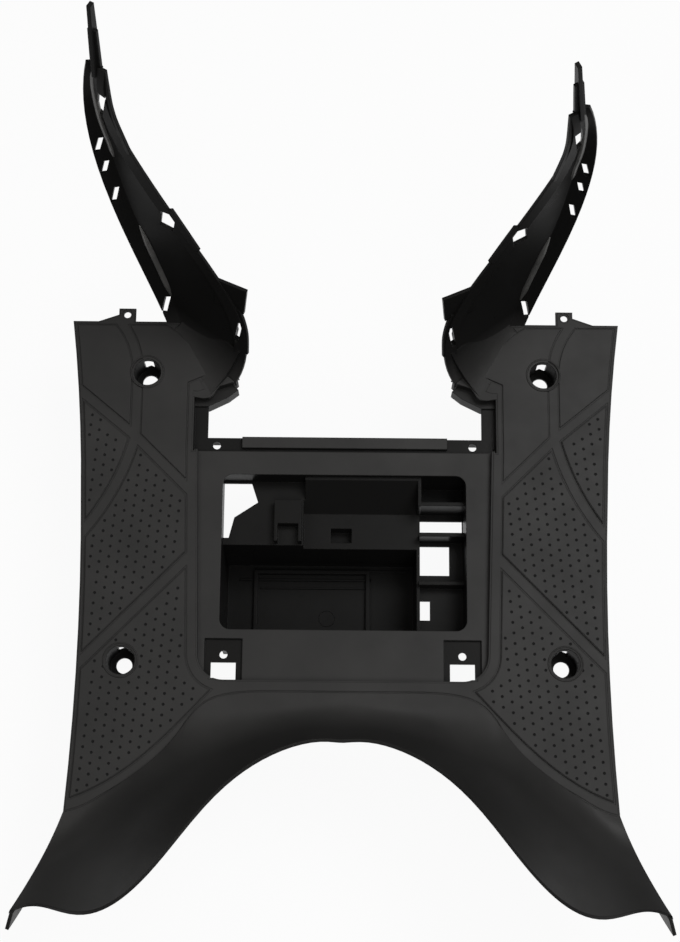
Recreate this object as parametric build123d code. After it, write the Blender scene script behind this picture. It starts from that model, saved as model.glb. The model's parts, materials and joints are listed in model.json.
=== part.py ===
"""Scooter floorboard: one moulded panel with tread pads, battery box, front ramp and two rear arms."""

import os
from math import atan2, cos, hypot, pi, radians, sin, sqrt

from build123d import *

# Frame: X across, Y to the rear, Z up; the origin lies on the battery box's base, in the middle plane.
# Moulding
WALL = 2.5
LIP = 16.0
LIP_INSET = 0.4
RIB = 2.0

# Floor plan
FLOOR_Z = 105.0
HALF_WAIST = 198.3
REAR_FLARE = 11.7
FRONT_FLARE = 2.2
HALF_REAR = HALF_WAIST + REAR_FLARE
HALF_FRONT = HALF_WAIST + FRONT_FLARE
WAIST_Y = 40.0
SIDE_BOW = 4.0
SIDE_DIP, DIP_Y = 1.8, -115.0
REAR_Y = 178.0
FLARE_Y = -196.0

# Front ramp, horns and arch
HORN_FLARE = 26.5
HORN_HALF = HALF_FRONT + HORN_FLARE
HORN_Y = -266.5
HORN_INNER_Y = -263.5
RAMP_Y = -108.0
RAMP_CURVE = [(150, -168), (119, -139), (90, RAMP_Y)]
RAMP_START_Y = -120.0
RAMP_SWEEP = 92.0
RAMP_INNER = 88.0
RAMP_EASE = 20.0
RAMP_SLOPE = 0.75
RAMP_POINTS = 6
HORN_SLOPE = 0.75
ARCH_Y = -146.0
ARCH_R = 190.0
ARCH_HALF_ANGLE = 9.3
SHOULDER_R = 75.0
LEG_ANGLE = 51.0
HORN_CORNER_R = 22.0
COVE_WIDTH = 34.0
COVE_RISE = 24.0
COVE_FADE = 0.5

# Lid seat
SEAT_DEPTH = 6.0
SEAT_HALF_REAR = 111.4
SEAT_HALF_FRONT = 106.6
SEAT_REAR_Y = 76.5
SEAT_FRONT_Y = -99.0
SEAT_CORNER_R = 19.0
OPENING_HALF = 92.0
OPENING_REAR_Y = 58.5
OPENING_FRONT_Y = -60.5
OPENING_R = 8.0

# Rear cross bar and the ledges beside it
BAR_REAR_Y = 88.0
BAR_DEPTH = 10.0
BAR_WALL = 12.0
BEAD_HALF = 78.0
BEAD_WIDTH = 8.5
LEDGE_X = 115.0
LEDGE_WIDTH = 10.5
LEDGE_Y = 120.0
LUG_DROP, LUG_DEPTH = 8.0, 14.0

# Screws and bolts
BOLT_REAR_X, BOLT_REAR_Y = 151.5, 137.0
BOLT_FRONT_X, BOLT_FRONT_Y = 163.5, -85.5
CUP_R = 10.5
CUP_DEPTH = 26.0
CUP_SIDES = 8
BOLT_HOLE_R = 6.0
CUP_WINDOW = 7.5
LID_REAR_X, LID_REAR_Y = 97.5, 82.0
LID_FRONT_X, LID_FRONT_Y = 88.5, -79.0
LID_HOLE_R = 3.0
POCKET_DEPTH = 3.0
POCKET_WIDTH, POCKET_LENGTH = 28.0, 31.0
WINDOW_WIDTH, WINDOW_LENGTH = 18.5, 13.0
TAB_X, TAB_Y = 168.5, 183.5
TAB_WIDTH = 13.0
TAB_HOLE_R = 2.75
TAB_REACH = 5.0
TAB_FOOT = 22.0

# Battery box
BOX_RIGHT = 58.5
BOX_REAR_Y = 11.0
SHELF_DEPTH = 40.0
SHELF_LENGTH = 25.0
PLATFORM_DEPTH = 28.0
PLATFORM_RIGHT = -31.0
STEP_BACK, STEP_SIDE = 31.0, 22.0
STEP_RISE = 10.0
# Window in the platform: points from the box's left wall and the platform's front edge
PLATFORM_WINDOW = [(0, 3), (4, 3), (8, 19), (26, 31), (21, 46), (0, 46)]
WELL_X, WELL_WIDTH = -2.0, 16.0
WELL_DEPTH = 14.0
BAY_DEPTH = 48.0
# Bay windows: width, front edge, rear edge; bay bars: front edge, depth of the top below the floor
BAY_WINDOWS = [(33, 22, 33), (23, -10, 13), (8, -45, -30)]
BAY_BARS = [(38, 18), (16, 26), (-20, 34)]
BAR_WIDTH = 3.0
TRAY_X, TRAY_Y = -25.0, -28.0
TRAY_WIDTH, TRAY_LENGTH = 92.0, 64.0
TRAY_WALL, TRAY_RISE = 3.0, 5.0

# Tread pads and the channels between them
PAD_RISE = 1.2
PAD_MARGIN = 3.5
CHANNEL = 9.0
INNER_RIM = 9.0
NODE = (159.0, 86.0)
REAR_CHANNEL_X = 174.0
SIDE_CHANNEL_Y = 126.0
INNER_CHANNEL_Y = 34.0
SWEEP_MID = (174.0, 45.0)
SWEEP_END_Y = -2.0
CROSS_INNER_Y, CROSS_SIDE_Y = 2.0, -101.0

# Ribs under the floor
CROSS_RIBS_Y = [-30, 45]

# Arms
ARM_OUTER = [(138, 180, 0), (156, 203, 85), (170, 226, 170), (161, 243, 275)]
ARM_INNER = [(82, 131, 0), (79, 165, 60), (106, 191, 115), (123, 207, 150), (145, 223, 210), (147, 236, 275)]
ARM_STATIONS = 7
ARM_FULL = 36.0
ARM_TIP = (149, 247, 330)
ARM_SWAY = (10.0, 19.0)
SWAY_POWER = 1.6
FLANGE_WIDTH, FLANGE_DEPTH = 11.0, 8.0
STEP_WIDTH, STEP_DEPTH = 8.0, 3.0
FOLD_INNER, FOLD_OUTER = 26.0, 10.0
FOLD_HOLLOW = 0.34
STRIP_WIDTH, STRIP_SHARE = 8.0, 0.6
BLADE_WIDTH, BLADE_DEPTH = 2.8, 9.0
EAR_SHARE, EAR_WIDTH, EAR_LENGTH = 0.27, 24.0, 30.0
# Slots: share of the arm's height, distance from the inner edge, width, length
ARM_SLOTS = [(0.15, 5, 3.5, 22), (0.5, 11, 11, 22), (0.88, 8, 7, 28)]
FLANGE_SLOTS = [(0.08, 3.5, 20), (0.52, 3, 14), (0.62, 3, 12), (0.7, 3, 14)]


def block(x0, x1, y0, y1, z0, z1):
    """A box between two corners."""
    return Pos(x0, y0, z0) * Box(x1 - x0, y1 - y0, z1 - z0, align=(Align.MIN,) * 3)


def prism(face, z0, z1):
    """A plan face raised from z0 to z1."""
    return extrude(Pos(0, 0, z0) * face, amount=z1 - z0, dir=(0, 0, 1))


def both(shape):
    """A shape and its mirror image on the other side of the panel."""
    return shape + mirror(shape, about=Plane.YZ)


# Arch edge, right half: a flat crown, a round shoulder and a straight leg down the horn.
CROWN_C = (0, ARCH_Y - ARCH_R)
TURN_1 = radians(ARCH_HALF_ANGLE)
TURN_2 = radians(LEG_ANGLE)
SHOULDER_C = ((ARCH_R - SHOULDER_R) * sin(TURN_1), CROWN_C[1] + (ARCH_R - SHOULDER_R) * cos(TURN_1))
LEG_START = (SHOULDER_C[0] + SHOULDER_R * sin(TURN_2), SHOULDER_C[1] + SHOULDER_R * cos(TURN_2))


def arch_gap(x, y):
    """Signed plan distance from the arch edge, positive on the panel."""
    x = abs(x)
    if atan2(x - CROWN_C[0], y - CROWN_C[1]) < TURN_1:
        return hypot(x - CROWN_C[0], y - CROWN_C[1]) - ARCH_R
    if y > SHOULDER_C[1] and atan2(x - SHOULDER_C[0], y - SHOULDER_C[1]) < TURN_2:
        return hypot(x - SHOULDER_C[0], y - SHOULDER_C[1]) - SHOULDER_R
    return (x - LEG_START[0]) * sin(TURN_2) + (y - LEG_START[1]) * cos(TURN_2)


def ramp_rise(x, y):
    """Height of the ramp's top above the tread pads."""
    x = abs(x)
    share = min(max((x - RAMP_INNER) / (HORN_HALF - RAMP_INNER), 0), 1)
    run = RAMP_START_Y - RAMP_SWEEP * (1 - cos(pi * share)) / 2 - y
    rise = 0
    if run > 0:
        rise = (RAMP_SLOPE + HORN_SLOPE * (x / HORN_HALF) ** 3) * run**2 / (run + 2 * RAMP_EASE)
    cove = COVE_RISE * (1 - COVE_FADE * min(max((LEG_START[1] - y) / (LEG_START[1] - HORN_Y), 0), 1) ** 2)
    gap = arch_gap(x, y) / COVE_WIDTH
    if gap < 0:
        rise += cove * (1 - 2 * gap)
    elif gap < 1:
        rise += cove * (1 - gap) ** 2
    return rise


def ramp_point(x, y, along, depth):
    """A point of the ramp's top, moved into the wall by depth in the upright plane along a plan direction."""
    h = 0.5
    slope_x = (ramp_rise(x + h, y) - ramp_rise(x - h, y)) / (2 * h)
    slope_y = (ramp_rise(x, y + h) - ramp_rise(x, y - h)) / (2 * h)
    slope = slope_x * along.X + slope_y * along.Y
    drop = depth * sqrt(1 + slope_x**2 + slope_y**2) / (1 + slope**2)
    z = FLOOR_Z + PAD_RISE + ramp_rise(x, y)
    return Vector(x, y, z) + along * (slope * drop) - Vector(0, 0, drop)


def ramp_line(rear, front, depth):
    """Curve along the ramp over the plan line from rear to front."""
    along = (front - rear).normalized()
    shares = [n / (RAMP_POINTS - 1) for n in range(RAMP_POINTS)]
    points = []
    for share in shares:
        spot = rear + (front - rear) * share
        points.append(ramp_point(spot.X, spot.Y, along, depth))
    return Edge.make_spline(points, parameters=shares)


def side_edge():
    """Right side of the panel in plan, from the rear corner to the horn's corner."""
    middle = (HALF_WAIST + SIDE_BOW, (REAR_Y + WAIST_Y) / 2)
    bow = ThreePointArc((HALF_REAR, REAR_Y), middle, (HALF_WAIST, WAIST_Y))
    dip = ThreePointArc((HALF_WAIST, WAIST_Y), (HALF_WAIST - SIDE_DIP, DIP_Y), (HALF_FRONT, FLARE_Y))
    return bow, dip, Line((HALF_FRONT, FLARE_Y), (HORN_HALF, HORN_Y))


def front_edge():
    """Right half of the front edge in plan, from the middle to the horn's corner."""
    crown = RadiusArc((0, ARCH_Y), (ARCH_R * sin(TURN_1), CROWN_C[1] + ARCH_R * cos(TURN_1)), ARCH_R)
    shoulder = RadiusArc(crown @ 1, LEG_START, SHOULDER_R)
    reach = (LEG_START[1] - HORN_INNER_Y) / sin(TURN_2)
    corner = (LEG_START[0] + reach * cos(TURN_2), HORN_INNER_Y)
    back = HORN_CORNER_R * sin(TURN_2 / 2) / cos(TURN_2 / 2)
    leg = Line(LEG_START, (corner[0] - back * cos(TURN_2), corner[1] + back * sin(TURN_2)))
    turn = RadiusArc(leg @ 1, (corner[0] + back, HORN_INNER_Y), -HORN_CORNER_R)
    return crown, shoulder, leg, turn, Line(turn @ 1, (HORN_HALF, HORN_Y))


def ramp_edge(shift=0.0):
    """Right half of the ramp's rear edge in plan, from the side to the middle."""
    points = [(HALF_FRONT, FLARE_Y), *RAMP_CURVE]
    curve = Spline(*[(x, y + shift) for x, y in points])
    return curve, Line(curve @ 1, (0, RAMP_Y + shift))


def whole_plan():
    """Plan of the panel's outer boundary, with no openings."""
    middle = Polyline((HALF_REAR, REAR_Y), (0, REAR_Y), (0, ARCH_Y))
    return both(make_face(Wire.combine([*side_edge(), *front_edge(), middle])[0]))


def floor_plan():
    """Plan of the flat floor, up to the arms' folds, without the lid seat."""
    under = [(x, y - 2 * WALL) for x, y in reversed(RAMP_CURVE)]
    o, i, u, b = arm_frame(arm_curves(0), 0)
    fold_out = o + u * FLANGE_WIDTH - b * (FLANGE_DEPTH - WALL / 2)
    fold_in = i - b * (STEP_DEPTH - WALL / 2)
    far = 2 * HORN_HALF
    half = make_face(Polyline(
        (0, under[0][1]), (0, LEDGE_Y), (LEDGE_X, LEDGE_Y), (fold_in.X, fold_in.Y), (fold_out.X, fold_out.Y),
        (o.X + WALL, REAR_Y), (far, REAR_Y), (far, FLARE_Y), (HALF_FRONT - WALL, FLARE_Y),
        (HALF_FRONT - WALL, FLARE_Y - 2 * WALL), *reversed(under), close=True,
    ))
    gap = Rectangle(2 * LEDGE_X, LEDGE_Y - SEAT_REAR_Y + WALL, align=(Align.CENTER, Align.MIN))
    return (whole_plan() & both(half)) - seat_plan() - Pos(0, SEAT_REAR_Y - WALL / 2) * gap


def seat_plan():
    """Plan of the recess that the lid lies in."""
    corners = [(SEAT_HALF_REAR, SEAT_REAR_Y), (SEAT_HALF_FRONT, SEAT_FRONT_Y)]
    corners += [(-x, y) for x, y in reversed(corners)]
    face = make_face(Polyline(*corners, close=True))
    return fillet(face.vertices().group_by(Axis.Y)[0], SEAT_CORNER_R)


def floor():
    """Flat floor with turned-down edges."""
    plan = floor_plan()
    body = prism(plan, FLOOR_Z - WALL, FLOOR_Z)
    ring = whole_plan() - offset(whole_plan(), -WALL, kind=Kind.INTERSECTION)
    keep = block(LEDGE_X, 2 * HORN_HALF, FLARE_Y, 2 * REAR_Y, 0, FLOOR_Z)
    lips = prism(ring, FLOOR_Z - LIP, FLOOR_Z) & both(keep)
    x0, x1 = TAB_X - TAB_WIDTH / 2, TAB_X + TAB_WIDTH / 2
    foot, end = REAR_Y - 2 * WALL, TAB_Y + TAB_REACH
    x2 = TAB_X + TAB_FOOT
    corners = [(x2, foot), (x2, REAR_Y), (x1, TAB_Y), (x1, end), (x0, end), (x0, foot)]
    tab = prism(make_face(Polyline(*corners, close=True)), FLOOR_Z - WALL, FLOOR_Z)
    tab -= Pos(TAB_X, TAB_Y, FLOOR_Z) * Cylinder(TAB_HOLE_R, 4 * WALL)
    notch = block(ARM_OUTER[0][0] + 2 * WALL, x0, REAR_Y - 2 * WALL, REAR_Y + WALL, 0, FLOOR_Z - WALL)
    return body + (lips - both(notch)) + both(tab)


def treads():
    """Raised tread pads on both sides, parted by channels."""
    curve, line = ramp_edge(CHANNEL)
    rim = SEAT_HALF_REAR + INNER_RIM
    foot_in, foot_out = ARM_INNER[0], ARM_OUTER[0]
    far, back = 2 * HORN_HALF, REAR_Y - PAD_MARGIN
    inner = Polyline(
        curve @ 1, (SEAT_HALF_FRONT, SEAT_REAR_Y), (rim, SEAT_REAR_Y),
        (rim, LEDGE_Y + INNER_RIM), (foot_in[0] + 2 * INNER_RIM, LEDGE_Y + 2 * INNER_RIM),
        (foot_out[0] - INNER_RIM, REAR_Y - INNER_RIM), (foot_out[0], back), (far, back),
        (far, FLARE_Y + CHANNEL), curve @ 0,
    )
    area = make_face(Wire.combine([curve, inner])[0])
    area &= offset(whole_plan(), -PAD_MARGIN, kind=Kind.INTERSECTION)
    area -= offset(seat_plan(), INNER_RIM)
    start, side = SEAT_HALF_FRONT, HALF_WAIST + CHANNEL
    bend = (NODE[0], BOLT_REAR_Y)
    lines = [
        TangentArc(bend, (REAR_CHANNEL_X, REAR_Y), tangent=(0, 1)),
        Line(bend, NODE),
        Line((side, SIDE_CHANNEL_Y), NODE),
        Line(NODE, (start, INNER_CHANNEL_Y)),
        ThreePointArc(NODE, SWEEP_MID, (side, SWEEP_END_Y)),
        Line((start, CROSS_INNER_Y), (side, CROSS_SIDE_Y)),
    ]
    for path in lines:
        area -= trace(path, CHANNEL)
    return both(prism(area, FLOOR_Z - WALL / 2, FLOOR_Z + PAD_RISE))


def ramp_stations():
    """Plan lines across the right half of the ramp, each from its rear edge to the front edge."""
    crown, shoulder, leg, _, end = front_edge()
    curve, line = ramp_edge()
    fronts = [crown @ 0, shoulder @ 0.1, shoulder @ 0.9, leg @ 0.7, end @ 0, end @ 0.5, end @ 1]
    rears = [line @ 1, line @ 0.35] + [curve @ t for t in (0.95, 0.65, 0.4, 0.2, 0)]
    return list(zip(rears, fronts))


def ramp():
    """Front ramp and horns: a skin of even wall, lofted across the panel."""
    right = ramp_stations()
    left = [(Vector(-r.X, r.Y), Vector(-f.X, f.Y)) for r, f in reversed(right[1:])]
    sections = []
    for rear, front in left + right:
        top, bottom = ramp_line(rear, front, 0), ramp_line(rear, front, WALL)
        sections.append(Wire([top, Line(top @ 1, bottom @ 1), bottom, Line(bottom @ 0, top @ 0)]))
    return Part() + Solid.make_loft(sections)


def ramp_lips():
    """Turned-down sides of the ramp, square to its skin, whose front ends show as the horns' points."""
    rear, front = ramp_stations()[-1]
    along = (front - rear).normalized()
    top, low = ramp_line(rear, front, WALL / 2), ramp_line(rear, front, LIP)
    back = along * -WALL
    rest = Polyline(low @ 0, low @ 0 + back, top @ 0 + back, top @ 0)
    side = make_face([top, Line(top @ 1, low @ 1), low, *rest.edges()])
    inward = Vector(along.Y, -along.X)
    return both(Pos(inward * LIP_INSET) * extrude(side, amount=WALL, dir=inward))


def cups():
    """Bolt cups let into the floor: outsides and hollows."""
    outside, hollow = Part(), Part()
    low, half = FLOOR_Z - CUP_DEPTH, CUP_WINDOW / 2
    for x, y in ((BOLT_REAR_X, BOLT_REAR_Y), (BOLT_FRONT_X, BOLT_FRONT_Y)):
        wall = RegularPolygon(CUP_R + WALL, CUP_SIDES, major_radius=False)
        outside += Pos(x, y) * prism(wall, low - WALL, FLOOR_Z - WALL / 2)
        hollow += Pos(x, y) * prism(Circle(CUP_R), low, FLOOR_Z + WALL)
        hollow += Pos(x, y) * prism(Circle(BOLT_HOLE_R), low - 2 * WALL, low + WALL)
        hollow += block(x - half, x + half, y, y + 2 * CUP_R, low, FLOOR_Z - 2 * WALL)
    return both(outside), both(hollow)


def seat():
    """Lid seat, the rear cross bar and the ledges, with their openings."""
    plan = seat_plan()
    low = FLOOR_Z - SEAT_DEPTH
    tray = prism(offset(plan, WALL), low - WALL, FLOOR_Z) - prism(plan, low, FLOOR_Z + 1)
    tray -= block(-HORN_HALF, HORN_HALF, SEAT_REAR_Y, REAR_Y, 0, FLOOR_Z)
    bar_z = FLOOR_Z - BAR_DEPTH
    reach = LEDGE_X + WALL / 2
    bar = block(-reach, reach, SEAT_REAR_Y - WALL, BAR_REAR_Y, bar_z - WALL, bar_z)
    bar += block(-reach, reach, SEAT_REAR_Y - WALL, SEAT_REAR_Y, bar_z - WALL, low)
    bar += block(-BEAD_HALF, BEAD_HALF, BAR_REAR_Y - BEAD_WIDTH, BAR_REAR_Y, bar_z - WALL, low)
    bar += block(-reach, reach, BAR_REAR_Y - WALL, BAR_REAR_Y, bar_z - BAR_WALL, bar_z)
    wall = block(LEDGE_X, LEDGE_X + WALL, SEAT_REAR_Y - WALL, LEDGE_Y, bar_z - WALL, FLOOR_Z)
    wall += block(LEDGE_X - LEDGE_WIDTH, reach, BAR_REAR_Y - WALL, LEDGE_Y, bar_z - WALL, bar_z)
    return tray + bar + both(wall)


def seat_openings():
    """Battery opening, screw holes and windows of the lid seat."""
    low, deep = FLOOR_Z - SEAT_DEPTH, FLOOR_Z - SEAT_DEPTH - POCKET_DEPTH - BAR_DEPTH
    middle = (OPENING_REAR_Y + OPENING_FRONT_Y) / 2
    mouth = RectangleRounded(2 * OPENING_HALF, OPENING_REAR_Y - OPENING_FRONT_Y, OPENING_R)
    cut = prism(Pos(0, middle) * mouth, low - 2 * WALL, FLOOR_Z)
    holes = Pos(LID_REAR_X, LID_REAR_Y) * prism(Circle(LID_HOLE_R), deep, FLOOR_Z)
    holes += Pos(LID_FRONT_X, LID_FRONT_Y) * prism(Circle(LID_HOLE_R), deep, FLOOR_Z)
    x0, x1 = LID_FRONT_X - WINDOW_WIDTH / 2, LID_FRONT_X + WINDOW_WIDTH / 2
    y0 = SEAT_FRONT_Y + WALL / 2
    holes += block(x0, x1, y0, y0 + WINDOW_LENGTH, deep, FLOOR_Z)
    return cut + both(holes)


def pockets():
    """Screw pockets in the seat's front corners: outsides and hollows."""
    low = FLOOR_Z - SEAT_DEPTH - POCKET_DEPTH
    x0, x1 = LID_FRONT_X - POCKET_WIDTH / 2, LID_FRONT_X + POCKET_WIDTH / 2
    y0 = SEAT_FRONT_Y + WALL / 4
    y1 = y0 + POCKET_LENGTH
    outside = block(x0 - WALL, x1 + WALL, y0 - WALL / 2, y1 + WALL, low - WALL, low + POCKET_DEPTH - WALL / 2)
    hollow = block(x0, x1, y0, y1, low, low + POCKET_DEPTH + WALL / 2)
    return both(outside), both(hollow)


def along_x(face, x0, x1):
    """A face drawn in Y and Z, drawn out from x0 to x1."""
    return extrude(Pos(x0, 0, 0) * (Plane.YZ * face), amount=x1 - x0, dir=(1, 0, 0))


def shelf_room(front, low, top):
    """Side view of the room over the shelf, whose rear wall leans back."""
    corners = [(front, low), (BOX_REAR_Y + SHELF_LENGTH, low), (OPENING_REAR_Y, top), (front, top)]
    return make_face(Polyline(*corners, close=True))


def box():
    """Battery box with its shelf, platform and side bay."""
    top = FLOOR_Z - SEAT_DEPTH - WALL / 2
    left, right = -OPENING_HALF, OPENING_HALF
    front, rear = OPENING_FRONT_Y, OPENING_REAR_Y
    shelf_z, platform_z, bay_z = FLOOR_Z - SHELF_DEPTH, FLOOR_Z - PLATFORM_DEPTH, FLOOR_Z - BAY_DEPTH
    shelf_y = BOX_REAR_Y - WALL
    well0, well1 = WELL_X - WELL_WIDTH / 2, WELL_X + WELL_WIDTH / 2
    rooms = [
        (left, BOX_RIGHT - WALL, front, shelf_y, WALL),
        (left, PLATFORM_RIGHT + WALL / 2, shelf_y - WALL / 2, rear, platform_z),
        (well0, well1, BOX_REAR_Y + WALL, BOX_REAR_Y + WALL + WELL_WIDTH * 0.7, shelf_z - WELL_DEPTH),
        (BOX_RIGHT, right, front, rear, bay_z),
    ]
    outside, hollow = Part(), Part()
    for x0, x1, y0, y1, z0 in rooms:
        outside += block(x0 - WALL, x1 + WALL, y0 - WALL, y1 + WALL, z0 - WALL, top)
        hollow += block(x0, x1, y0, y1, z0, top)
    room = shelf_room(shelf_y - WALL / 2, shelf_z, top)
    outside += along_x(offset(room, WALL, kind=Kind.INTERSECTION), PLATFORM_RIGHT - WALL, BOX_RIGHT)
    hollow += along_x(room, PLATFORM_RIGHT, BOX_RIGHT - WALL)
    hollow += block(BOX_RIGHT - 2 * WALL, BOX_RIGHT + WALL, front, BOX_REAR_Y + SHELF_LENGTH, shelf_z, top)
    window = make_face(Polyline(*[(left + x, BOX_REAR_Y + y) for x, y in PLATFORM_WINDOW], close=True))
    hollow += prism(window, platform_z - 2 * WALL, platform_z + WALL)
    for width, y0, y1 in BAY_WINDOWS:
        hollow += block(BOX_RIGHT, BOX_RIGHT + width, y0, y1, bay_z - 2 * WALL, bay_z + WALL)
    return outside & block(-HORN_HALF, HORN_HALF, -HORN_HALF, REAR_Y, 0, top), hollow


def box_fittings():
    """Battery tray frame, platform step and bay bars inside the box."""
    outer = Rectangle(TRAY_WIDTH, TRAY_LENGTH)
    frame = outer - offset(outer, -TRAY_WALL, kind=Kind.INTERSECTION)
    inside = prism(Pos(TRAY_X, TRAY_Y) * frame, WALL / 2, WALL + TRAY_RISE)
    low = FLOOR_Z - PLATFORM_DEPTH
    x0, x1 = PLATFORM_RIGHT - STEP_SIDE, PLATFORM_RIGHT - WALL / 2
    y0, y1 = BOX_REAR_Y - WALL / 2, BOX_REAR_Y + STEP_BACK
    step = block(x0, x1, y0, y1, low - WALL / 2, low + STEP_RISE)
    inside += step - block(x0 + WALL, x1 - WALL, y0 - WALL, y1 - STEP_BACK * 0.6, low, FLOOR_Z)
    x0, x1 = BOX_RIGHT - WALL / 2, OPENING_HALF + WALL / 2
    for y, depth in BAY_BARS:
        inside += block(x0, x1, y, y + BAR_WIDTH, FLOOR_Z - BAY_DEPTH - WALL / 2, FLOOR_Z - depth)
    return inside


def arm_curves(sign):
    """Outer and inner edge of one arm in space; sign sets which way its tip sways."""
    curves = []
    for points in (ARM_OUTER, ARM_INNER):
        moved = []
        for x, y, z in points:
            share = sign * (z / ARM_TIP[2]) ** SWAY_POWER
            moved.append((x + share * ARM_SWAY[0], y + share * ARM_SWAY[1], FLOOR_Z + z))
        curves.append(Spline(*moved))
    return curves


def arm_frame(curves, t):
    """Outer point, inner point, direction across and direction to the back at a share t of the arm."""
    outer, inner = curves
    o, i = outer @ t, inner @ t
    across = (i - o).normalized()
    along = (outer % t + inner % t).normalized()
    back = along.cross(across).normalized()
    return o, i, across, back


def arm_section(o, i, u, b):
    """Closed outline of the arm's channel: outer flange, main face, step and inner flange."""
    width = (i - o).length
    size = min(1, width / ARM_FULL)
    fw, fd = FLANGE_WIDTH * size, FLANGE_DEPTH * size
    sw, sd = STEP_WIDTH * size, STEP_DEPTH * size
    span = hypot(fw, fd)
    nu, nb = fd / span, fw / span
    q1 = (WALL - nb * (WALL - fd)) / nu
    front = [o, o + u * fw - b * fd, i - u * sw - b * sd, i - u * sw, i]
    rear = [
        i + b * WALL, i - u * (sw + WALL) + b * WALL, i - u * (sw + WALL) + b * (WALL - sd),
        o + u * q1 + b * (WALL - fd), o + (u * nu + b * nb) * WALL,
    ]
    return make_face(Polyline(*front, *rear, close=True))


def arm_block(frame, across, width, length, depth):
    """A box on an arm's skin: centred at a distance across from the inner edge, square to the skin."""
    o, i, u, b = frame
    return Plane(origin=i - u * across, x_dir=u, z_dir=b) * Box(width, length, depth)


def arm_fold(frame):
    """Hollow curve that leads the floor up into the arm."""
    o, i, u, b = frame
    up = u.cross(b)
    ahead = Vector(-u.Y, u.X, 0).normalized()
    into, down = ahead * (WALL / 2), Vector(0, 0, WALL / 2)
    outer = (o + u * FLANGE_WIDTH - b * FLANGE_DEPTH, FOLD_OUTER)
    inner = (i - u * STEP_WIDTH - b * STEP_DEPTH, FOLD_INNER)
    ends = []
    for spot, r in (outer, inner):
        p = Vector(spot.X, spot.Y, FLOOR_Z)
        foot, head = p + ahead * r, p + up * r
        hollow = ThreePointArc(foot, p + (up + ahead) * (FOLD_HOLLOW * r), head)
        rest = Polyline(head, head - into, p - into - down, foot - down, foot)
        ends.append(make_face([hollow, *rest.edges()]))
    return loft(ends, ruled=True)


def arm_tip(frame, sign):
    """Narrow strip and thin blade at the top of the arm."""
    o, i, u, b = frame
    top = Vector(ARM_TIP[0] + sign * ARM_SWAY[0], ARM_TIP[1] + sign * ARM_SWAY[1], FLOOR_Z + ARM_TIP[2])
    base = (o + i) / 2
    rise = (top - base).normalized()
    foot = Plane(base - rise * STRIP_WIDTH, x_dir=u, z_dir=rise)
    middle = Plane(base + (top - base) * STRIP_SHARE, x_dir=u, z_dir=rise)
    head = Plane(top, x_dir=u, z_dir=rise)
    strip = [foot * Rectangle(STRIP_WIDTH, WALL), middle * Rectangle(STRIP_WIDTH * 0.8, WALL)]
    blade = [foot * Rectangle(BLADE_WIDTH, BLADE_DEPTH), head * Rectangle(BLADE_WIDTH, BLADE_DEPTH / 2)]
    return loft(strip, ruled=True) + loft(blade, ruled=True)


def arm(sign):
    """One arm on the right side, rising from the fold at the floor's rear."""
    curves = arm_curves(sign)
    frames = [arm_frame(curves, n / (ARM_STATIONS - 1)) for n in range(ARM_STATIONS)]
    sections = [arm_section(*frame) for frame in frames]
    body = loft(sections) + extrude(sections[0], amount=LIP, dir=(0, 0, -1))
    body += arm_fold(frames[0]) + arm_tip(frames[-1], sign)
    body += arm_block(arm_frame(curves, EAR_SHARE), 0, EAR_WIDTH, EAR_LENGTH, WALL)
    for t, across, width, length in ARM_SLOTS:
        body -= arm_block(arm_frame(curves, t), across, width, length, 5 * WALL)
    for t, width, length in FLANGE_SLOTS:
        o, i, u, b = arm_frame(curves, t)
        body -= arm_block((o, i, u, b), (i - o).length - FLANGE_WIDTH / 2, width, length, 3 * FLANGE_DEPTH)
    return body


def lugs():
    """Low hollow shelves between the ledges and the arms' feet."""
    x, y = ARM_INNER[0][:2]
    reach = LEDGE_X + WALL / 2
    front = LEDGE_Y - 3 * WALL
    corners = [(LEDGE_X - LEDGE_WIDTH, front), (reach, front), (reach, LEDGE_Y + WALL)]
    corners += [(x + 2 * WALL, y), (x, y - 2 * WALL), (x + 3 * WALL, LEDGE_Y)]
    plan = make_face(Polyline(*corners, close=True))
    top, low = FLOOR_Z - LUG_DROP, FLOOR_Z - LUG_DROP - LUG_DEPTH
    lug = prism(plan, low, top) - prism(offset(plan, -WALL, kind=Kind.INTERSECTION), low - WALL, top - WALL)
    corners = [(LEDGE_X, LEDGE_Y), (LEDGE_X + WALL, LEDGE_Y), (x + 2 * WALL, y + WALL), (x, y)]
    wall = make_face(Polyline(*corners, close=True))
    return both(lug + prism(wall, top - WALL, FLOOR_Z))


def ribs():
    """Stiffening ribs under the floor."""
    body, low, top = Part(), FLOOR_Z - LIP + RIB, FLOOR_Z - WALL / 2
    x0, x1 = SEAT_HALF_REAR + WALL / 2, HALF_WAIST - SIDE_DIP - WALL / 2
    for y in CROSS_RIBS_Y:
        body += block(x0, x1, y - RIB / 2, y + RIB / 2, low, top)
    x0, x1 = BOLT_REAR_X - RIB / 2, BOLT_REAR_X + RIB / 2
    body += block(x0, x1, BOLT_FRONT_Y, BOLT_REAR_Y - CUP_R - WALL / 2, low, top)
    return both(body)


def panel():
    """The whole panel as one solid."""
    cup_out, cup_in = cups()
    pocket_out, pocket_in = pockets()
    box_out, box_in = box()
    body = floor() + treads() + seat() + lugs() + ribs() + cup_out + pocket_out + box_out
    body -= cup_in + pocket_in + box_in + seat_openings()
    body += box_fittings()
    body += ramp()
    body += ramp_lips()
    body += arm(-1)
    body += mirror(arm(1), about=Plane.YZ)
    return body


if __name__ == "__main__":
    os.makedirs("parts", exist_ok=True)
    export_step(panel(), "parts/floorboard.step")
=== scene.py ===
"""Looks of the scooter floorboard: black moulded plastic, dimpled tread pads, white studio."""

import json
import math

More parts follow.
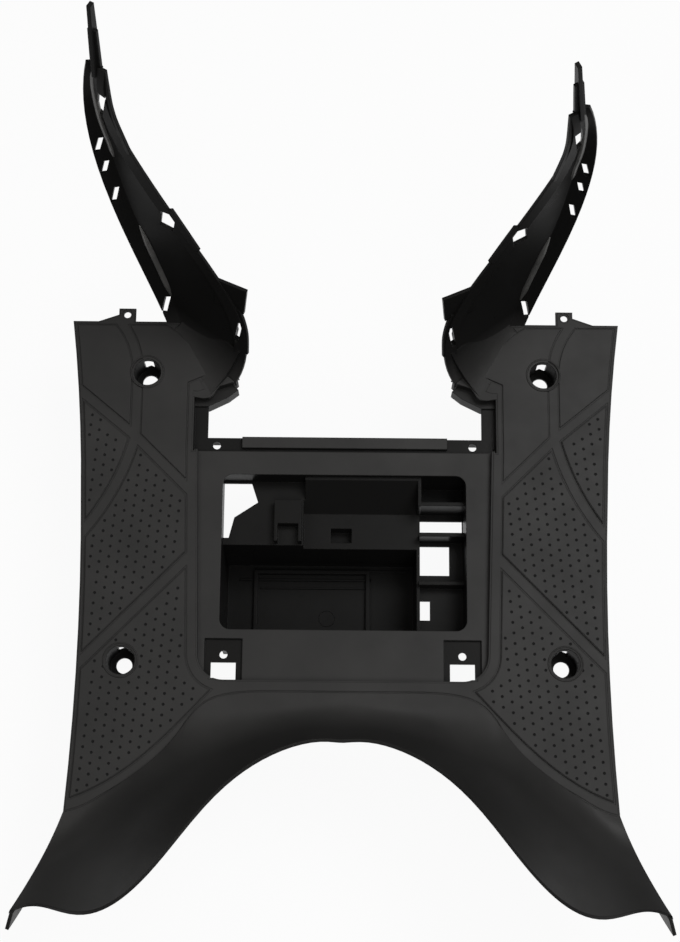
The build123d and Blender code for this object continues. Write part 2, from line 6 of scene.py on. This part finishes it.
import bpy
from mathutils import Matrix, Vector
from mathutils.geometry import delaunay_2d_cdt

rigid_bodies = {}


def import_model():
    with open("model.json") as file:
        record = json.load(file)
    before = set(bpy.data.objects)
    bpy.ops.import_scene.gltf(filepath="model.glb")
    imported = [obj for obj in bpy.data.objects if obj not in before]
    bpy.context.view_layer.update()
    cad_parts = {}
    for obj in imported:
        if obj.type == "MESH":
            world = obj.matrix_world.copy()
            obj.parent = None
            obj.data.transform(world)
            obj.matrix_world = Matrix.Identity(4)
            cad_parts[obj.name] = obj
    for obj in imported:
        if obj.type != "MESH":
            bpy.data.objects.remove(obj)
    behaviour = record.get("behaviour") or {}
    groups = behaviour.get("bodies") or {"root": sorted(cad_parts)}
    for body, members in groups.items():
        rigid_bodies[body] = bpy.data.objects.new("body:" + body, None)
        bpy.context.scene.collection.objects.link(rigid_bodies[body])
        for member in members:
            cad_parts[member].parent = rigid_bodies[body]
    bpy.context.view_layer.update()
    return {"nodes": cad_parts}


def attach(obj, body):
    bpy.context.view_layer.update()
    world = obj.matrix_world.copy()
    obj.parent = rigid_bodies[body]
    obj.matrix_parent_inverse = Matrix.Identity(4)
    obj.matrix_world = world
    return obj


for old in list(bpy.data.objects):
    bpy.data.objects.remove(old)

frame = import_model()
panel = frame["nodes"]["floorboard"]

# Lengths are in millimetres, except where a comment says metres
MM = 0.001
SIDES = ((1, "right"), (-1, "left"))

# Colours of the plastic: grained from dark to pale; smooth, darker as painted shade; in the dimples,
# painted shade; and on the ridges a painted highlight from dark to pale
GRAINED_DARK = (0.0165, 0.0163, 0.0160)
GRAINED_PALE = (0.0240, 0.0235, 0.0229)
SMOOTH_SHADED_BLACK = (0.0085, 0.0084, 0.0082)
HOLLOW_SHADE_BLACK = (0.008, 0.008, 0.008)
RIDGE_HIGHLIGHT_DARK = (0.05, 0.05, 0.048)
RIDGE_HIGHLIGHT_PALE = (0.09, 0.088, 0.085)
# Gloss of the smooth plastic, what the grain adds to it, and gloss of the dimples and of the ridges
SMOOTH_ROUGHNESS = (0.26, 0.36)
SMOOTH_SHINE = 0.03
GRAIN_ROUGHNESS = 0.16
GRAIN_SHINE = 0.06
HOLLOW_ROUGHNESS = (0.6, 0.8)
HOLLOW_SHINE = 0.05
RIDGE_ROUGHNESS = 0.35
# Where the finish and its painted shade change, in metres: each pair is where a change starts and ends
BOX_EDGE_Z = (0.0966, 0.0976)
ARM_Y = (0.112, 0.122)
ARM_Z = (0.107, 0.125)
RAMP_Y = (-0.13, -0.11)
RAMP_Z = (0.106, 0.122)
# Share of the smooth finish and its painted shade on the front of the ramp
RAMP_SMOOTH_SHADE = 0.55
# Rounded edges and grain of the shader, lengths in metres
EDGE_RADIUS = 0.001
GRAIN_DEPTH = 0.0002
GRAIN_STRENGTH = 0.12

# Heights of the flat faces that carry a skin, and how such a face is told from others
PAD_TOP = 106.2
FLOOR_TOP = 105.0
FLAT_NORMAL = 0.99
LEVEL_SLACK = 0.05
# Skins: rise over the face, depth into it, gap to the edge of a pad and of a channel, least channel area
SKIN_RISE = 0.6
SKIN_SINK = 0.2
PAD_GAP = 0.5
CHANNEL_GAP = 1.1
CHANNEL_AREA = 400.0
# A corner of an outline that is drawn in moves by at most the gap divided by this
MITRE_LIMIT = 0.4
# Points of such an outline lie further apart than this
POINT_GAP = 0.4
# Lengths under this count as none; points closer than the next one are joined
TINY = 1e-6
MERGE = 1e-4
# The triangulation's mode that keeps the triangles within the outline
WITHIN_OUTLINE = 1

# Tread dimples: leaning triangular lattice, size, height of their bottoms over the pad, gap to the edge
DOT_STEP = 7.85
DOT_LEAN = 0.093
DOT_START = 120.0
DOT_ROWS = range(-6, 22)
DOT_COLUMNS = range(-40, 30)
DOT_R = 1.15
DOT_SIDES = 10
DOT_FLOOR = 0.05
DOT_EDGE = 2.2
# Middles of the pads that carry dimples, on the right side
DIMPLED = [(185, 60), (150, -10), (165, -110)]

# Lean of the left arm: at this rise over the floor it stands so much further out and back, by this power
ARM_RISE = 330.0
LEAN_OUT = 20.0
LEAN_BACK = 38.0
LEAN_POWER = 1.6
# Bars that close the arms' windows: name, width, points on the right arm, direction out of the skin
BAR_THICK = 2.5
BARS = [
    (
        "slot_bar",
        4.0,
        [(75.0, 145.0, 128.0), (74.3, 153.2, 144.0), (76.2, 160.0, 157.5), (79.0, 164.2, 166.0)],
        (0.43, -0.86, 0.27),
    ),
    (
        "window_bar",
        4.5,
        [(103.0, 185.0, 219.0), (111.2, 192.4, 235.5), (118.6, 198.6, 251.5)],
        (0.31, -0.93, 0.20),
    ),
    (
        "tip_bar",
        3.0,
        [
            (138.9, 211.6, 302.0), (142.3, 214.2, 331.4), (143.1, 215.6, 343.7), (142.9, 217.1, 355.9),
            (141.4, 221.4, 380.0),
        ],
        (0.48, -0.87, 0.12),
    ),
]
# Ridges on the arms: name, radius, points on the right arm
RIDGES = [
    (
        "ridge_low",
        2.6,
        [(131.5, 186.8, 136.0), (135.7, 193.3, 157.7), (141.1, 200.4, 184.9), (146.3, 207.4, 211.7)],
    ),
    (
        "ridge_high",
        2.2,
        [
            (153.8, 221.9, 280.0), (154.2, 224.0, 293.8), (155.6, 225.7, 322.7), (153.2, 226.7, 357.2),
            (148.1, 227.2, 379.8),
        ],
    ),
]
RIDGE_SIDES = 10
RIDGE_BACK = Vector((0, -0.9, 0.3))
# Share of its size that a ridge keeps at its ends, and the steps it takes to grow
RIDGE_END = 0.2
TAPER_STEPS = 4
# Steps of a curve from one of its points to the next
PATH_STEPS = 6

# Beads round the bolt cups: name, middle on the right side and height of the face round the mouth
CUPS = [("rear_cup_bead", 151.5, 137.0, PAD_TOP), ("front_cup_bead", 163.5, -85.5, PAD_TOP + SKIN_RISE)]
CUP_BEAD_R = 12.6
CUP_BEAD_THICK = 0.7
BEAD_STEPS = 48
BEAD_SIDES = 8
# Ring left by an ejector on the tub's floor: middle, radius and thickness
EJECTOR = (-13.0, -34.4, 2.5)
EJECTOR_R = 6.3
EJECTOR_THICK = 0.3
# Low rails on the tub's floor: left, front, right, rear and top
RAIL_FOOT = 2.0
RAILS = [
    (-82.5, -4.2, 22.0, -2.6, 4.4),
    (20.4, -60.0, 22.0, -2.6, 4.4),
    (-66.0, -10.6, 18.6, -9.2, 3.8),
    (17.2, -60.0, 18.6, -9.2, 3.8),
    (20.0, 3.2, 53.0, 4.8, 4.2),
]
# Plate with a round corner under the fold at the right arm's foot: outline, underside and top
FOLD_CORNER = [
    (118.0, 122.5), (118.0, 118.0), (108.0, 116.4), (103.0, 117.2), (100.2, 119.4), (98.6, 122.6),
    (93.5, 129.5), (88.5, 136.5), (97.0, 141.0),
]
FOLD_FOOT = 102.5
FOLD_TOP = 105.3

# Lamps, in metres and watts: name, place, side of the square, power and colour
LAMPS = [
    ("key", (0.3, -0.95, 2.0), 1.0, 19, (1.0, 0.99, 0.98)),
    ("right", (0.75, 0.5, 2.0), 0.9, 34, (1.0, 1.0, 1.0)),
    ("left", (-0.8, 0.4, 2.0), 0.9, 9, (1.0, 0.98, 0.95)),
]
LAMP_AIM = (0, 0, 0.1)
WORLD_STRENGTH = 0.08
# Studio floor, in metres, and the share of it that is plain white to the camera and in reflections
STUDIO_SIZE = 8.0
STUDIO_DROP = 0.0005
WHITE_SHARE = 0.94
# Camera fitted to the photograph: place, angle over the floor and roll in degrees, focal length in pixels
EYE = (-3.4, -302.3, 1457.3)
EYE_RISE = 75.0
EYE_ROLL = 0.52
FOCAL_PIXELS = 1854.0
PHOTO_HEIGHT = 942.0
SENSOR = 36.0
# Far limit of the view, in metres
VIEW_REACH = 20.0


def node(tree, kind, **values):
    """A shader node with its sockets set by name."""
    made = tree.nodes.new(kind)
    for key, value in values.items():
        made.inputs[key].default_value = value
    return made


def material(name):
    """A new material, its node tree and its shader."""
    mat = bpy.data.materials.new(name)
    mat.use_nodes = True
    return mat, mat.node_tree, mat.node_tree.nodes["Principled BSDF"]


def own_place(tree):
    """Coordinates on the object, in metres."""
    return tree.nodes.new("ShaderNodeTexCoord").outputs["Object"]


def noise(tree, **values):
    """A noise that lies fixed on the object."""
    made = node(tree, "ShaderNodeTexNoise", **values)
    tree.links.new(own_place(tree), made.inputs["Vector"])
    return made.outputs["Fac"]


def spread(tree, source, start, end, to_start, to_end):
    """A value from start..end, spread over to_start..to_end."""
    made = tree.nodes.new("ShaderNodeMapRange")
    for key, value in zip(("From Min", "From Max", "To Min", "To Max"), (start, end, to_start, to_end)):
        made.inputs[key].default_value = value
    tree.links.new(source, made.inputs["Value"])
    return made.outputs["Result"]


def worked(tree, operation, *terms, clamp=False):
    """The result of a calculation; each term is a number or another node's output."""
    made = tree.nodes.new("ShaderNodeMath")
    made.operation = operation
    made.use_clamp = clamp
    for socket, term in zip(made.inputs, terms):
        if isinstance(term, float):
            socket.default_value = term
        else:
            tree.links.new(term, socket)
    return made.outputs["Value"]


def toned(tree, source, *stops):
    """A colour that runs between two stops; each is a value and a colour."""
    made = tree.nodes.new("ShaderNodeValToRGB")
    for element, (value, color) in zip(made.color_ramp.elements, stops):
        element.position = value
        element.color = (*color, 1)
    tree.links.new(source, made.inputs["Fac"])
    return made.outputs["Color"]


def grain_unshaded_share(tree):
    """How dull and pale the plastic is: 1 on the floor, less on the ramp, 0 in the box and on the arms,
    where it is smoother and painted darker as shade.
    """
    axes = tree.nodes.new("ShaderNodeSeparateXYZ")
    tree.links.new(own_place(tree), axes.inputs["Vector"])
    y = axes.outputs["Y"]
    z = axes.outputs["Z"]
    over_box = spread(tree, z, *BOX_EDGE_Z, 0.0, 1.0)
    arm_side = spread(tree, y, *ARM_Y, 0.0, 1.0)
    arm_rise = spread(tree, z, *ARM_Z, 0.0, 1.0)
    arm = worked(tree, "MULTIPLY", arm_side, arm_rise)
    ramp_side = spread(tree, y, *RAMP_Y, RAMP_SMOOTH_SHADE, 0.0)
    ramp_rise = spread(tree, z, *RAMP_Z, 0.0, 1.0)
    ramp = worked(tree, "MULTIPLY", ramp_side, ramp_rise)
    smooth = worked(tree, "ADD", arm, ramp)
    return worked(tree, "SUBTRACT", over_box, smooth, clamp=True)


def plastic():
    """Black moulded plastic, fine-grained, uneven in tone and gloss; smoother and painted darker as shade
    in the box, on the arms and partly on the ramp.
    """
    mat, tree, shader = material("black_plastic")
    link = tree.links.new
    grained_unshaded = grain_unshaded_share(tree)

    cloud = noise(tree, Scale=14.0, Detail=4.0, Roughness=0.6)
    shade = tree.nodes.new("ShaderNodeMix")
    shade.data_type = "RGBA"
    # A is the smooth plastic's colour, painted darker as shade in the box, on the arms and on the ramp
    shade.inputs["A"].default_value = (*SMOOTH_SHADED_BLACK, 1)
    link(grained_unshaded, shade.inputs["Factor"])
    link(toned(tree, cloud, (0.3, GRAINED_DARK), (0.75, GRAINED_PALE)), shade.inputs["B"])
    link(shade.outputs["Result"], shader.inputs["Base Color"])

    smear = noise(tree, Scale=38.0, Detail=6.0, Roughness=0.65)
    gloss = spread(tree, smear, 0.3, 0.7, *SMOOTH_ROUGHNESS)
    link(worked(tree, "MULTIPLY_ADD", grained_unshaded, GRAIN_ROUGHNESS, gloss), shader.inputs["Roughness"])
    shine = worked(tree, "MULTIPLY_ADD", grained_unshaded, GRAIN_SHINE, SMOOTH_SHINE)
    link(shine, shader.inputs["Specular IOR Level"])

    round_edge = node(tree, "ShaderNodeBevel", Radius=EDGE_RADIUS)
    round_edge.samples = 4
    bump = node(tree, "ShaderNodeBump", Strength=GRAIN_STRENGTH, Distance=GRAIN_DEPTH)
    link(noise(tree, Scale=1400.0, Detail=2.0, Roughness=0.5), bump.inputs["Height"])
    link(round_edge.outputs["Normal"], bump.inputs["Normal"])
    link(bump.outputs["Normal"], shader.inputs["Normal"])
    return mat


def shaded_hollow_plastic():
    """The plastic in the dimples, painted darker as the shade in the hollows, with little shine."""
    mat, tree, shader = material("dimple_painted_shade")
    # The dark base colour is painted shade in the hollows
    shader.inputs["Base Color"].default_value = (*HOLLOW_SHADE_BLACK, 1)
    shader.inputs["Specular IOR Level"].default_value = HOLLOW_SHINE
    dust = noise(tree, Scale=300.0, Detail=2.0)
    tree.links.new(spread(tree, dust, 0.3, 0.7, *HOLLOW_ROUGHNESS), shader.inputs["Roughness"])
    return mat


def highlighted_ridge_plastic():
    """The plastic along a ridge, smooth and pale as a painted highlight."""
    mat, tree, shader = material("ridge_painted_highlight")
    shader.inputs["Roughness"].default_value = RIDGE_ROUGHNESS
    highlight_noise = noise(tree, Scale=90.0, Detail=4.0)
    # The pale tone is a painted highlight along the ridge
    tree.links.new(toned(tree, highlight_noise, (0.3, RIDGE_HIGHLIGHT_DARK), (0.7, RIDGE_HIGHLIGHT_PALE)), shader.inputs["Base Color"])
    return mat


def backdrop():
    """White to the camera and in reflections; matte to other light, with a faint shadow."""
    mat, tree, shader = material("studio_white")
    link = tree.links.new
    tree.nodes.remove(shader)
    matte = node(tree, "ShaderNodeBsdfDiffuse", Color=(0.5, 0.5, 0.5, 1))
    glow = node(tree, "ShaderNodeEmission", Color=(1, 1, 1, 1), Strength=1.0)
    path = tree.nodes.new("ShaderNodeLightPath")
    mirrored = worked(tree, "MAXIMUM", path.outputs["Is Glossy Ray"], path.outputs["Is Transmission Ray"])
    rays = worked(tree, "MAXIMUM", path.outputs["Is Camera Ray"], mirrored)
    mix = tree.nodes.new("ShaderNodeMixShader")
    link(worked(tree, "MULTIPLY", rays, WHITE_SHARE), mix.inputs["Fac"])
    link(matte.outputs["BSDF"], mix.inputs[1])
    link(glow.outputs["Emission"], mix.inputs[2])
    link(mix.outputs["Shader"], tree.nodes["Material Output"].inputs["Surface"])
    return mat


def pairs(loop):
    """Each point of a closed line with the one after it."""
    return zip(loop, loop[1:] + loop[:1])


def inside(spot, loop):
    """True if a plan point lies within a closed outline."""
    x, y = spot
    odd = False
    for (ax, ay), (bx, by) in pairs(loop):
        if (ay > y) != (by > y) and x < ax + (y - ay) * (bx - ax) / (by - ay):
            odd = not odd
    return odd


def area(loop):
    """Area within an outline, below zero for one that runs clockwise."""
    return sum(a[0] * b[1] - b[0] * a[1] for a, b in pairs(loop)) / 2


def edge_gap(spot, loop):
    """Distance from a plan point to the nearest side of an outline."""
    point = Vector(spot)
    best = math.inf
    for start, end in pairs(loop):
        base = Vector(start)
        along = Vector(end) - base
        share = (point - base).dot(along) / max(along.length_squared, TINY)
        best = min(best, (point - base - along * min(max(share, 0), 1)).length)
    return best


def shrunk(loop, by):
    """An outline drawn in by a small distance; it runs with its inside on the left."""
    result = []
    for k, corner in enumerate(loop):
        here = Vector(corner)
        arriving = (here - Vector(loop[k - 1])).normalized()
        leaving = (Vector(loop[(k + 1) % len(loop)]) - here).normalized()
        inward = Vector((-arriving.y - leaving.y, arriving.x + leaving.x))
        if inward.length < TINY:
            continue
        inward.normalize()
        lean = max(inward.dot(Vector((-arriving.y, arriving.x))), MITRE_LIMIT)
        spot = here + inward * (by / lean)
        if not result or (spot - result[-1]).length > POINT_GAP:
            result.append(spot)
    return [tuple(p) for p in result]


def chained(follow):
    """Closed outlines from a table of each point's next one; a loose end joins the nearest loose start."""
    reached = set(follow.values())
    for end in [b for b in follow.values() if b not in follow]:
        starts = [a for a in follow if a not in reached]
        if starts:
            follow[end] = min(starts, key=lambda a: math.dist(a, end))
            reached.add(follow[end])
    loops = []
    while follow:
        start, here = follow.popitem()
        loop = [start]
        while here != start and here in follow:
            loop.append(here)
            here = follow.pop(here)
        if here == start and len(loop) > 2:
            loops.append(loop)
    return loops


def outlines(level):
    """Outlines of the flat faces at a height, read from the panel's own faces."""
    mesh = panel.data
    spots = [(round(v.co.x / MM, 2), round(v.co.y / MM, 2)) for v in mesh.vertices]
    gaps = [abs(v.co.z / MM - level) for v in mesh.vertices]
    sides = {}
    for face in mesh.polygons:
        if face.normal.z > FLAT_NORMAL and all(gaps[v] < LEVEL_SLACK for v in face.vertices):
            sides.update(dict.fromkeys(pairs([spots[v] for v in face.vertices])))
    return chained({a: b for a, b in sides if (b, a) not in sides})


def holes_in(loop, loops, gap):
    """Holes within an outline, each made wider by a gap."""
    return [shrunk(hole, gap) for hole in loops if area(hole) < 0 and inside(hole[0], loop)]


def belong(name, mesh):
    """Puts a mesh in the scene as a piece of the panel."""
    made = bpy.data.objects.new(name, mesh)
    bpy.context.scene.collection.objects.link(made)
    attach(made, "root")


def piece(name, verts, faces, mat, smooth):
    """A piece of the panel from points in millimetres."""
    mesh = bpy.data.meshes.new(name)
    mesh.from_pydata([tuple(Vector(v) * MM) for v in verts], [], faces)
    mesh.materials.append(mat)
    mesh.polygons.foreach_set("use_smooth", [smooth] * len(faces))
    mesh.update()
    belong(name, mesh)


def dot_lattice(side):
    """Middles of all dimples on one side of the panel."""
    row = DOT_STEP * math.sqrt(3) / 2
    for i in DOT_ROWS:
        for j in DOT_COLUMNS:
            y = DOT_STEP * (j + 0.5 * (i % 2))
            yield side * (DOT_START + row * i - DOT_LEAN * y), y


def dimple(x, y):
    """Corners of a dimple's rim, then its middle."""
    turns = [2 * math.pi * k / DOT_SIDES for k in range(DOT_SIDES)]
    return [Vector((x + DOT_R * math.cos(t), y + DOT_R * math.sin(t))) for t in turns] + [Vector((x, y))]


def closed(first, count):
    """Edges of a closed line of points that are numbered from first."""
    return [(first + k, first + (k + 1) % count) for k in range(count)]


def skin_plan(loop, holes, dots):
    """Plan of a skin: its points, its faces and the numbers of the points in the dimples' middles."""
    points = []
    edges = []
    for line in [loop, *holes]:
        edges += closed(len(points), len(line))
        points += [Vector(p) for p in line]
    hollows = set()
    for dot in dots:
        edges += closed(len(points), DOT_SIDES)
        points += dimple(*dot)
        hollows.add(len(points) - 1)
    flat, _, faces, origin, _, _ = delaunay_2d_cdt(points, edges, [], WITHIN_OUTLINE, MERGE)
    middles = {k for k, sources in enumerate(origin) if hollows.intersection(sources)}
    kept = []
    for face in faces:
        mid = sum((flat[v] for v in face), Vector((0, 0))) / len(face)
        if not any(inside(mid, hole) for hole in holes):
            kept.append(list(face))
    return flat, kept, middles


def skin(name, level, loop, holes, dots, mats):
    """A thin skin over a flat face at a height, round its holes, with dimples where dots are given."""
    flat, faces, middles = skin_plan(loop, holes, dots)
    rises = [DOT_FLOOR if k in middles else SKIN_RISE for k in range(len(flat))]
    verts = [(p.x * MM, p.y * MM, (level + rise) * MM) for p, rise in zip(flat, rises)]
    slots = [int(any(v in middles for v in face)) for face in faces]
    sides = dict.fromkeys(pair for face in faces for pair in pairs(face))
    for a, b in sides:
        if (b, a) not in sides:
            first = len(verts)
            verts += [(verts[v][0], verts[v][1], (level - SKIN_SINK) * MM) for v in (a, b)]
            faces.append([b, a, first, first + 1])
            slots.append(0)
    mesh = bpy.data.meshes.new(name)
    mesh.from_pydata(verts, [], faces)
    for mat in mats:
        mesh.materials.append(mat)
    mesh.polygons.foreach_set("material_index", slots)
    mesh.update()
    belong(name, mesh)


def tread_skins(mats):
    """Dimpled skins on the three treads of each side."""
    loops = outlines(PAD_TOP)
    for side, word in SIDES:
        for n, (x, y) in enumerate(DIMPLED, 1):
            for loop in loops:
                if not inside((side * x, y), loop):
                    continue
                edge = shrunk(loop, PAD_GAP)
                holes = holes_in(loop, loops, PAD_GAP)
                dots = [d for d in dot_lattice(side) if inside(d, edge) and edge_gap(d, edge) > DOT_EDGE]
                for hole in holes:
                    dots = [d for d in dots if not inside(d, hole) and edge_gap(d, hole) > DOT_EDGE]
                skin("tread_%s_%d" % (word, n), PAD_TOP, edge, holes, dots, mats)


def channel_skins(mats):
    """Skins over the channels between the pads, kept off the pads so that a groove is left on each side."""
    loops = outlines(FLOOR_TOP)
    wide = [loop for loop in loops if area(loop) >= CHANNEL_AREA]
    for n, loop in enumerate(wide, 1):
        holes = holes_in(loop, loops, CHANNEL_GAP)
        skin("channel_skin_%d" % n, FLOOR_TOP, shrunk(loop, CHANNEL_GAP), holes, [], mats)


def smooth_path(points):
    """Points joined by an even curve."""
    path = []
    for k in range(len(points) - 1):
        a = points[max(k - 1, 0)]
        b = points[k]
        c = points[k + 1]
        d = points[min(k + 2, len(points) - 1)]
        for n in range(PATH_STEPS):
            t = n / PATH_STEPS
            bend = (2 * a - 5 * b + 4 * c - d) * t**2 + (3 * b - a - 3 * c + d) * t**3
            path.append(b + ((c - a) * t + bend) / 2)
    return path + [points[-1]]


def band(low, high, count):
    """Faces between two rings of points, numbered from low and from high."""
    return [(low + j, low + (j + 1) % count, high + (j + 1) % count, high + j) for j in range(count)]


def swept(name, path, profile, back, mat, taper, smooth):
    """A profile drawn along a path; its ends shrink to the share taper."""
    count = len(profile)
    last = len(path) - 1
    verts = []
    for k, spot in enumerate(path):
        ahead = (path[min(k + 1, last)] - path[max(k - 1, 0)]).normalized()
        side = ahead.cross(back).normalized()
        up = side.cross(ahead)
        share = min(1.0, taper + (1 - taper) * min(k, last - k) / TAPER_STEPS)
        verts += [spot + (side * a + up * b) * share for a, b in profile]
    faces = [tuple(reversed(range(count))), tuple(range(last * count, (last + 1) * count))]
    for k in range(last):
        faces += band(k * count, (k + 1) * count, count)
    piece(name, verts, faces, mat, smooth)


def arm_path(side, points):
    """A curve on the right arm, or the like curve on the left one, which leans further back."""
    spots = []
    for x, y, z in points:
        share = ((z - FLOOR_TOP) / ARM_RISE) ** LEAN_POWER if side < 0 else 0
        spots.append(Vector((side * (x + LEAN_OUT * share), y + LEAN_BACK * share, z)))
    return smooth_path(spots)


def arm_details(mat, highlighted):
    """Window bars and rounded ridges of both arms."""
    turns = [2 * math.pi * k / RIDGE_SIDES for k in range(RIDGE_SIDES)]
    high = BAR_THICK / 2
    for side, word in SIDES:
        for name, width, points, (x, y, z) in BARS:
            wide = width / 2
            strip = [(-wide, -high), (wide, -high), (wide, high), (-wide, high)]
            back = Vector((side * x, y, z))
            swept("%s_%s" % (name, word), arm_path(side, points), strip, back, mat, 1.0, False)
        for name, radius, points in RIDGES:
            rod = [(radius * math.cos(t), radius * math.sin(t)) for t in turns]
            path = arm_path(side, points)
            swept("%s_%s" % (name, word), path, rod, RIDGE_BACK, highlighted, RIDGE_END, True)


def bead(name, spot, radius, thick, mat):
    """A low round bead lying flat."""
    x, y, z = spot
    verts = []
    faces = []
    for k in range(BEAD_STEPS):
        turn = 2 * math.pi * k / BEAD_STEPS
        for j in range(BEAD_SIDES):
            tilt = 2 * math.pi * j / BEAD_SIDES
            reach = radius + thick * math.cos(tilt)
            rise = thick * math.sin(tilt)
            verts.append((x + reach * math.cos(turn), y + reach * math.sin(turn), z + rise))
        faces += band((k + 1) % BEAD_STEPS * BEAD_SIDES, k * BEAD_SIDES, BEAD_SIDES)
    piece(name, verts, faces, mat, True)


def plate(name, outline, low, high, mat):
    """A plan outline raised from low to high."""
    count = len(outline)
    verts = [(x, y, z) for z in (low, high) for x, y in outline]
    faces = [tuple(reversed(range(count))), tuple(range(count, 2 * count))]
    piece(name, verts, faces + band(0, count, count), mat, False)


def small_details(mat):
    """Beads round the cups, plates under the arms' folds, the ejector mark and the rails in the tub."""
    for side, word in SIDES:
        for name, x, y, z in CUPS:
            bead("%s_%s" % (name, word), (side * x, y, z), CUP_BEAD_R, CUP_BEAD_THICK, mat)
        corner = [(side * x, y) for x, y in FOLD_CORNER]
        plate("fold_corner_%s" % word, corner[::side], FOLD_FOOT, FOLD_TOP, mat)
    bead("ejector_mark", EJECTOR, EJECTOR_R, EJECTOR_THICK, mat)
    for n, (left, front, right, rear, top) in enumerate(RAILS, 1):
        rail = [(left, front), (right, front), (right, rear), (left, rear)]
        plate("tub_rail_%d" % n, rail, RAIL_FOOT, top, mat)


def area_light(name, spot, size, power, color):
    """A soft square lamp that faces the panel."""
    data = bpy.data.lights.new(name, "AREA")
    data.shape = "RECTANGLE"
    data.size = size
    data.size_y = size
    data.energy = power
    data.color = color
    lamp = bpy.data.objects.new(name, data)
    bpy.context.scene.collection.objects.link(lamp)
    lamp.location = spot
    lamp.rotation_euler = (Vector(LAMP_AIM) - Vector(spot)).to_track_quat("-Z", "Y").to_euler()


def studio():
    """Pale floor, soft lamps and a plain world."""
    bpy.ops.mesh.primitive_plane_add(size=STUDIO_SIZE, location=(0, 0, -STUDIO_DROP))
    floor = bpy.context.object
    floor.name = "studio_floor"
    floor.data.materials.append(backdrop())
    for lamp in LAMPS:
        area_light(*lamp)
    world = bpy.data.worlds.new("studio_world")
    bpy.context.scene.world = world
    world.use_nodes = True
    back = world.node_tree.nodes["Background"]
    back.inputs["Color"].default_value = (1, 1, 1, 1)
    back.inputs["Strength"].default_value = WORLD_STRENGTH


def camera():
    """The photograph's view, from the front and high up."""
    data = bpy.data.cameras.new("photo_view")
    data.sensor_width = SENSOR
    data.lens = SENSOR * FOCAL_PIXELS / PHOTO_HEIGHT
    data.clip_end = VIEW_REACH
    eye = bpy.data.objects.new("photo_view", data)
    bpy.context.scene.collection.objects.link(eye)
    tilt = Matrix.Rotation(math.radians(90 - EYE_RISE), 4, "X")
    roll = Matrix.Rotation(math.radians(EYE_ROLL), 4, "Z")
    eye.matrix_world = Matrix.Translation(Vector(EYE) * MM) @ tilt @ roll
    bpy.context.scene.camera = eye


bpy.context.scene.view_settings.view_transform = "Standard"
body = plastic()
panel.data.materials.clear()
panel.data.materials.append(body)
tread_skins([body, shaded_hollow_plastic()])
channel_skins([body])
arm_details(body, highlighted_ridge_plastic())
small_details(body)
studio()
camera()
